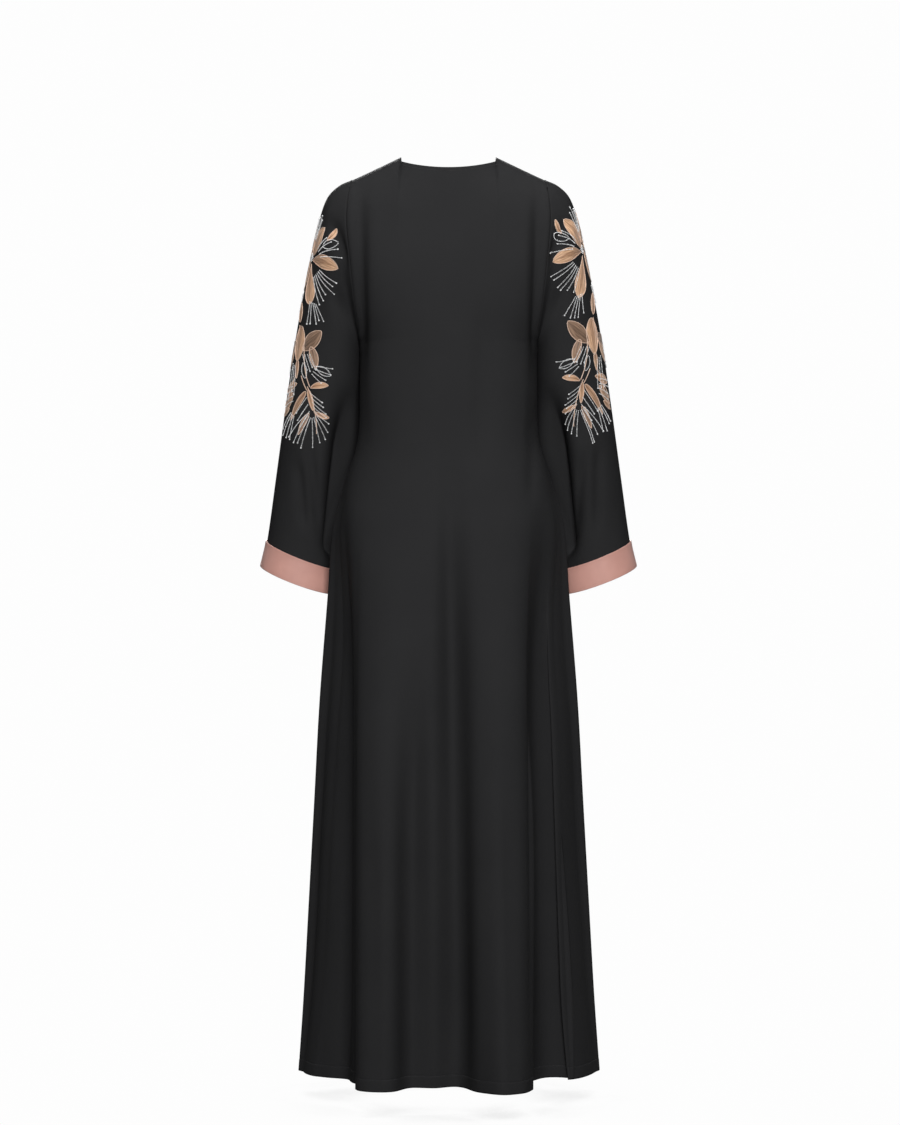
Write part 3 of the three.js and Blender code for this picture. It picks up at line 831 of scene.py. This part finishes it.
PATTERN_SHIFT = {1: (0.0, 0.0), -1: (9.0, -14.0)}  # the right sleeve's sits further back and higher
PETAL_ROWS, PETAL_COLUMNS = 26, 11
PETAL_TURN, PETAL_UNEVEN = 3, (0.94, 1.06)  # degrees, and shares of a petal's length and width
LINE_TURN, LINE_UNEVEN = 2, (0.85, 1.1)
BEAD_UNEVEN = (0.92, 1.08)
PETAL_EDGE_LIFT, PETAL_DOME = 0.1, 1.1
# The last width is that of the painted shade along a petal's midrib, in the silk's colour.
PETAL_RIB, PETAL_RIB_WIDTH, PETAL_RIB_SHADE_WIDTH = 0.3, 0.15, 0.16  # widths as shares of half the petal's
CORD_RADIUS, CORD_LIFT, CORD_SIDES = 0.6, 0.5, 6
BEAD_RADIUS, BEAD_PITCH, END_BEAD_RADIUS = 0.88, 1.95, 1.4
BEAD_SEAT = 0.8  # a bead's middle stands this share of its radius off the cloth
HEART_SPREAD, HEART_BEAD_RADIUS = 1.5, 1.1
STEM_THICKER = 1.2
STEM_STEPS = 30


def sample(grid, row, column):
    """The value of a grid between its points: shares of the four round a row and column number."""
    r = np.clip(np.floor(row).astype(int), 0, grid.shape[0] - 2)
    c = np.clip(np.floor(column).astype(int), 0, grid.shape[1] - 2)
    fr, fc = row - r, column - c
    if grid.ndim > 2:
        fr, fc = fr[..., None], fc[..., None]
    top = lerp(grid[r, c], grid[r, c + 1], fc)
    low = lerp(grid[r + 1, c], grid[r + 1, c + 1], fc)
    return lerp(top, low, fr)


class SleevePattern:
    """The flat pattern of one sleeve. A level is the slice of the sleeve at one distance b down its crown
    line; a runs round that slice from the crown."""

    def __init__(self, grid, side):
        self.grid = grid
        self.out = outward(grid, True, -side)
        rows, columns = grid.shape[:2]
        crown = columns // 2
        axis = grid[-1, crown] - grid[0, crown]
        down = (grid - grid[0, crown]) @ (axis / np.linalg.norm(axis))
        level_rows = np.stack([np.interp(PATTERN_B, down[:, c], np.arange(rows)) for c in range(columns)], 1)
        level_columns = np.broadcast_to(np.arange(columns), level_rows.shape)
        points = sample(grid, level_rows, level_columns)
        steps = np.linalg.norm(np.diff(points, axis=1), axis=-1)
        arc = np.concatenate([np.zeros((len(steps), 1)), np.cumsum(steps, 1)], 1)
        arc -= arc[:, crown:crown + 1]
        self.columns = np.stack([np.interp(PATTERN_A, a, np.arange(columns)) for a in arc])
        levels = np.broadcast_to(np.arange(len(arc))[:, None], self.columns.shape)
        self.rows = sample(level_rows, levels, self.columns)

    def carry(self, a, b, lift=0.0):
        """The places of pattern points on the cloth, lifted off it, and its outward directions there."""
        row = (b - PATTERN_B[0]) / (PATTERN_B[1] - PATTERN_B[0])
        column = (a - PATTERN_A[0]) / (PATTERN_A[1] - PATTERN_A[0])
        place = sample(self.rows, row, column), sample(self.columns, row, column)
        out = sample(self.out, *place)
        out /= np.linalg.norm(out, axis=-1, keepdims=True)
        return sample(self.grid, *place) + out * np.broadcast_to(lift, out.shape[:-1])[..., None], out


def arc_point(a, b, heading, length, bend, t):
    """A pattern point at share t of an arc that starts at a, b and turns by bend about its heading."""
    first = np.radians(heading - bend / 2)
    turn = np.radians(bend) + 1e-6
    return (a + length * (np.cos(first) - np.cos(first + turn * t)) / turn,
            b + length * (np.sin(first + turn * t) - np.sin(first)) / turn)


def petal_point(petal, t, u):
    """A pattern point of a petal: its midrib is an arc, and at share t along it the edges stand half the
    width away, times the sine of half a turn whose middle lies where the petal is widest."""
    a, b, heading, length, width, widest, bend = (petal[:, i, None, None] for i in range(7))
    rib_a, rib_b = arc_point(a, b, heading, length, bend, t)
    lean = np.radians(heading + bend * (t - 0.5))
    off = u * width / 2 * np.sin(np.pi * t ** (math.log(0.5) / np.log(widest))) ** 0.7
    return rib_a + off * np.cos(lean), rib_b - off * np.sin(lean)


def tubes(paths, outs, radius, sides, closed):
    """Round cords along several paths on the cloth: at every point a ring in the plane of the outward
    direction and the direction across the path."""
    if closed:
        along = np.roll(paths, -1, 1) - np.roll(paths, 1, 1)
    else:
        along = np.gradient(paths, axis=1)
    across = np.cross(along, outs)
    across /= np.linalg.norm(across, axis=-1, keepdims=True)
    turn = np.arange(sides) * 2 * math.pi / sides
    ring = np.cos(turn)[:, None] * outs[:, :, None] + np.sin(turn)[:, None] * across[:, :, None]
    points = paths[:, :, None] + radius * ring
    count, steps = paths.shape[:2]
    i, k = np.meshgrid(np.arange(steps if closed else steps - 1), np.arange(sides), indexing="ij")
    next_i, next_k = (i + 1) % steps, (k + 1) % sides
    faces = np.stack([i * sides + k, i * sides + next_k, next_i * sides + next_k, next_i * sides + k], -1)
    faces = faces.reshape(-1, 4) + (np.arange(count) * steps * sides)[:, None, None]
    return points.reshape(-1, 3), faces.reshape(-1, 4)


def icosahedron():
    """Twelve corners of three golden rectangles, and the twenty triangles between nearest corners."""
    g = (1 + math.sqrt(5)) / 2
    points = [(0, s, t * g) for s in (-1, 1) for t in (-1, 1)]
    points = np.array(points + [(y, z, x) for x, y, z in points] + [(z, x, y) for x, y, z in points], float)
    near = np.isclose(np.linalg.norm(points[:, None] - points[None], axis=-1), 2.0)
    triples = ((i, j, k) for i in range(12) for j in range(i) for k in range(j))
    faces = [(i, j, k) for i, j, k in triples if near[i, j] and near[j, k] and near[i, k]]
    faces = [f if np.linalg.det(points[list(f)]) > 0 else f[::-1] for f in faces]
    return points / math.sqrt(1 + g * g), np.array(faces)


ROUND_POINTS, ROUND_FACES = icosahedron()


def scattered(centres, sizes, along=None, out=None):
    """One small round at every centre: plain, or drawn out along one direction and pressed flat."""
    if along is None:
        points = centres[:, None] + ROUND_POINTS * sizes[:, None, None]
    else:
        along = along / np.linalg.norm(along, axis=-1, keepdims=True)
        axes = np.stack([along, np.cross(out, along), out], 1)
        points = centres[:, None] + np.einsum("pk,nk,nkd->npd", ROUND_POINTS, sizes, axes)
    faces = ROUND_FACES[None] + 12 * np.arange(len(centres))[:, None, None]
    return points.reshape(-1, 3), faces.reshape(-1, 3)


def moved(table, shift):
    """A table of motifs moved by shift, which is added to its first two columns."""
    rows = np.array(table, float)
    rows[:, :2] += shift
    return rows


def make_petals(name, pattern, random, shift, side):
    """Petals as domed patches of thread with a low midrib, edged in cord."""
    petals = moved(PETALS, shift)
    petals[:, 2] += random.normal(0, PETAL_TURN, len(petals))
    petals[:, 3:5] *= random.uniform(*PETAL_UNEVEN, (len(petals), 2))
    t, u = np.meshgrid(np.linspace(0, 1, PETAL_ROWS), np.linspace(-1, 1, PETAL_COLUMNS), indexing="ij")
    a, b = petal_point(petals, t, u)
    dome = PETAL_DOME * (1 - u * u) * np.sin(np.pi * t) ** 0.5
    lift = PETAL_EDGE_LIFT + dome - PETAL_RIB * np.exp(-((u / PETAL_RIB_WIDTH) ** 2))
    points, _ = pattern.carry(a, b, lift)
    faces = grid_quads(PETAL_ROWS, PETAL_COLUMNS, False, -side)
    faces = faces[None] + (np.arange(len(petals)) * PETAL_ROWS * PETAL_COLUMNS)[:, None, None]
    across, along = u * petals[:, 4, None, None] / 2, t * petals[:, 3, None, None]
    flat = np.stack(np.broadcast_arrays(across, along), -1) * MM
    tone = np.broadcast_to(petals[:, 7, None, None], a.shape)
    # Painted light for the silk: lighter towards the tip and the edges as painted highlight, darker at the
    # base and along the low midrib as painted shade.
    reach = 0.35 + 0.4 * t - 0.35 * np.exp(-((u / PETAL_RIB_SHADE_WIDTH) ** 2)) + 0.25 * u**4
    reach = np.broadcast_to(reach, a.shape)
    piece = make_mesh("petals_" + name, points.reshape(-1, 3), faces.reshape(-1, 4),
                      {"thread": flat.reshape(-1, 2)}, {"tone": tone.ravel(), "reach": reach.ravel()})
    dressed(piece, SILK, None)

    w = np.linspace(0, 2, 2 * PETAL_ROWS, endpoint=False)
    edge_t, edge_u = there_and_back(w)
    a, b = petal_point(petals, edge_t, edge_u)
    paths, outs = pattern.carry(a[:, 0], b[:, 0], CORD_LIFT)
    points, faces = tubes(paths, outs, CORD_RADIUS, CORD_SIDES, True)
    dressed(make_mesh("petal_edges_" + name, points, faces), CORD, None)


def there_and_back(w):
    """The way round a petal's edge: along one side while w is under 1, and back along the other."""
    return np.where(w < 1, w, 2 - w)[None], np.where(w < 1, 1.0, -1.0)[None]


def make_stems(name, pattern, shift):
    """Stems of a slightly thicker cord, each an arc."""
    stems = moved(STEMS, shift)
    a, b = arc_point(*(stems[:, i, None] for i in range(5)), np.linspace(0, 1, STEM_STEPS))
    paths, outs = pattern.carry(a, b, CORD_LIFT)
    points, faces = tubes(paths, outs, CORD_RADIUS * STEM_THICKER, CORD_SIDES, False)
    dressed(make_mesh("stems_" + name, points, faces), CORD, None)


def make_beads(name, pattern, random, shift):
    """Beads in fans of lines that each end in a larger one, round outlined leaves, and in the flower's
    heart, where they turn by the golden angle."""
    lines = []
    for row in moved(SPRAYS, shift):
        share = np.linspace(0, 1, int(row[4]))
        start_a = lerp(row[0], row[2] + shift[0], share)
        start_b = lerp(row[1], row[3] + shift[1], share)
        heading = lerp(row[5], row[6], share) + random.normal(0, LINE_TURN, len(share))
        length = lerp(row[7], row[8], share) * random.uniform(*LINE_UNEVEN, len(share))
        lines += [arc_point(*one, row[9], np.arange(BEAD_PITCH, one[3], BEAD_PITCH) / one[3])
                  for one in zip(start_a, start_b, heading, length)]
    sizes = [np.append(np.full(len(a) - 1, BEAD_RADIUS), END_BEAD_RADIUS) for a, _ in lines]
    for a, b, heading, length, width in moved(LOOPS, shift):
        w = np.linspace(0, 2, int((2 * length + width) / BEAD_PITCH), endpoint=False)
        a, b = petal_point(np.array([[a, b, heading, length, width, 0.5, 0.0]]), *there_and_back(w))
        lines.append((a[0, 0], b[0, 0]))
        sizes.append(np.full(len(w), BEAD_RADIUS))
    i = np.arange(HEART_BEADS)
    golden = math.pi * (3 - math.sqrt(5))
    heart = np.array(FLOWER_HEART) + shift
    out = HEART_SPREAD * np.sqrt(i)
    lines.append((heart[0] + out * np.sin(i * golden), heart[1] + out * np.cos(i * golden)))
    sizes.append(np.full(HEART_BEADS, HEART_BEAD_RADIUS))
    a, b = (np.concatenate([line[i] for line in lines]) for i in (0, 1))
    sizes = np.concatenate(sizes) * random.uniform(*BEAD_UNEVEN, len(a))
    centres, _ = pattern.carry(a, b, BEAD_RADIUS * BEAD_SEAT)
    points, faces = scattered(centres, sizes)
    shade = np.repeat(random.uniform(0, 1, len(a)), len(ROUND_POINTS))
    dressed(make_mesh("beads_" + name, points, faces, None, {"shade": shade}), GLASS, None)


def make_embroidery(side):
    """One sleeve's motifs. The random draws run in the order of these calls."""
    pattern = SleevePattern(sleeves[side], side)
    random = np.random.default_rng(20 + side)
    name = "left" if side > 0 else "right"
    shift = PATTERN_SHIFT[side]
    make_petals(name, pattern, random, shift, side)
    make_stems(name, pattern, shift)
    make_beads(name, pattern, random, shift)


for side in (1, -1):
    make_embroidery(side)

# ---------------------------------------------------------------------------------------------------
# Stitches
# ---------------------------------------------------------------------------------------------------
STITCH = (1.15, 0.3, 0.24)  # half length, half width and half height
STITCH_PITCH = 3.0
NECK_STITCH_ROW = 5


def stitch_row(line, outs, closed=False):
    """Places for a row of stitches along a line of points: equal steps of its length."""
    if closed:
        line, outs = np.append(line, line[:1], 0), np.append(outs, outs[:1], 0)
    along = np.concatenate([[0], np.cumsum(np.linalg.norm(np.diff(line, axis=0), axis=1))])
    stops = np.arange(STITCH_PITCH / 2, along[-1], STITCH_PITCH)
    place, ahead, out = (np.stack([np.interp(stops + more, along, v[:, i]) for i in range(3)], 1)
                         for v, more in ((line, 0), (line, 0.5), (outs, 0)))
    out /= np.linalg.norm(out, axis=1, keepdims=True)
    return place + out * STITCH[2] * 0.4, ahead - place, out


def make_stitches(name, rows, material):
    """Rows of stitches as one mesh of small drawn-out rounds that lie flat on the cloth."""
    centres, along, out = (np.concatenate(parts) for parts in zip(*rows))
    along = along - out * np.sum(along * out, 1, keepdims=True)
    sizes = np.broadcast_to(STITCH, (len(centres), 3))
    points, faces = scattered(centres, sizes, along, out)
    return dressed(make_mesh(name, points, faces), material, None)


def nearest(values, value):
    return int(np.argmin(np.abs(np.asarray(values) - value)))


hem_row = nearest(BODY_ROWS, HEM_STITCH)
neck_row = NECK_STITCH_ROW
rows = []
back_out = outward(back, False, 1)
neck_columns = np.abs(BACK_COLUMNS) < NECK_SHARE * 1.01
rows.append(stitch_row(back[hem_row], back_out[hem_row]))
rows.append(stitch_row(back[neck_row, neck_columns], back_out[neck_row, neck_columns]))
for side, grid in fronts.items():
    out = outward(grid, False, -side)
    neck_columns = FRONT_COLUMNS < NECK_SHARE * 1.01
    rows.append(stitch_row(grid[hem_row], out[hem_row]))
    rows.append(stitch_row(grid[neck_row, neck_columns], out[neck_row, neck_columns]))
    rows.append(stitch_row(grid[neck_row:hem_row, EDGE_COLUMN], out[neck_row:hem_row, EDGE_COLUMN]))
make_stitches("stitches_black", rows, THREAD)
rows = []
for side, grid in cuffs.items():
    out = outward(grid, True, -side)
    rows += [stitch_row(grid[i], out[i], True) for i in CUFF_STITCH_ROWS]
make_stitches("stitches_rose", rows, ROSE_THREAD)

# ---------------------------------------------------------------------------------------------------
# Studio
# ---------------------------------------------------------------------------------------------------
def seen_and_lit(tree, seen, lit, output):
    """What the lens sees of a floor or backdrop is `seen`; what falls from it on the cloth is `lit`."""
    ray = tree.nodes.new("ShaderNodeLightPath")
    mix = tree.nodes.new("ShaderNodeMixShader")
    tree.links.new(ray.outputs["Is Camera Ray"], mix.inputs[0])
    tree.links.new(lit.outputs[0], mix.inputs[1])
    tree.links.new(seen.outputs[0], mix.inputs[2])
    tree.links.new(mix.outputs[0], tree.nodes[output].inputs[0])


def make_floor():
    mesh = bpy.data.meshes.new("floor")
    h = FLOOR_HALF
    corners = [(x, y, FLOOR_Z) for x, y in ((-h, -h), (h, -h), (h, h), (-h, h))]
    mesh.from_pydata(corners, [], [(0, 1, 2, 3)])
    floor = bpy.data.objects.new("floor", mesh)
    bpy.context.scene.collection.objects.link(floor)
    shader = Shader("studio floor", Roughness=1.0, Specular_IOR_Level=0.0, Emission_Strength=1.0)
    shader.surface.inputs["Base Color"].default_value = (0, 0, 0, 1)
    open_sky = shader.node("ShaderNodeAmbientOcclusion", {"samples": 8}, Distance=CONTACT, output="AO")
    shade = shader.node("ShaderNodeMath", {"operation": "SMOOTH_MIN"}, open_sky * CONTACT_STRETCH, 1.0,
                        CONTACT_ROUNDING)
    dark, white = ((level, level, level, 1) for level in (CONTACT_DARK, WHITE))
    shader.feed("Emission Color", shader.mix(shade, dark, white))
    dull = shader.tree.nodes.new("ShaderNodeBsdfDiffuse")
    dull.inputs["Color"].default_value = (FLOOR_BOUNCE, FLOOR_BOUNCE, FLOOR_BOUNCE, 1)
    seen_and_lit(shader.tree, shader.surface, dull, "Material Output")
    floor.data.materials.append(shader.material)


def make_world():
    """White to look at, and a weaker white as light, so that folds keep their shade."""
    world = bpy.data.worlds.new("studio")
    world.use_nodes = True
    tree = world.node_tree
    seen = tree.nodes["Background"]
    seen.inputs["Color"].default_value = (WHITE, WHITE, WHITE, 1)
    lit = tree.nodes.new("ShaderNodeBackground")
    lit.inputs["Color"].default_value = (1, 1, 1, 1)
    lit.inputs["Strength"].default_value = AMBIENT
    seen_and_lit(tree, seen, lit, "World Output")
    bpy.context.scene.world = world
    bpy.context.scene.view_settings.view_transform = "Standard"


make_floor()
make_world()
for light in LIGHTS:
    make_area_light(*light)
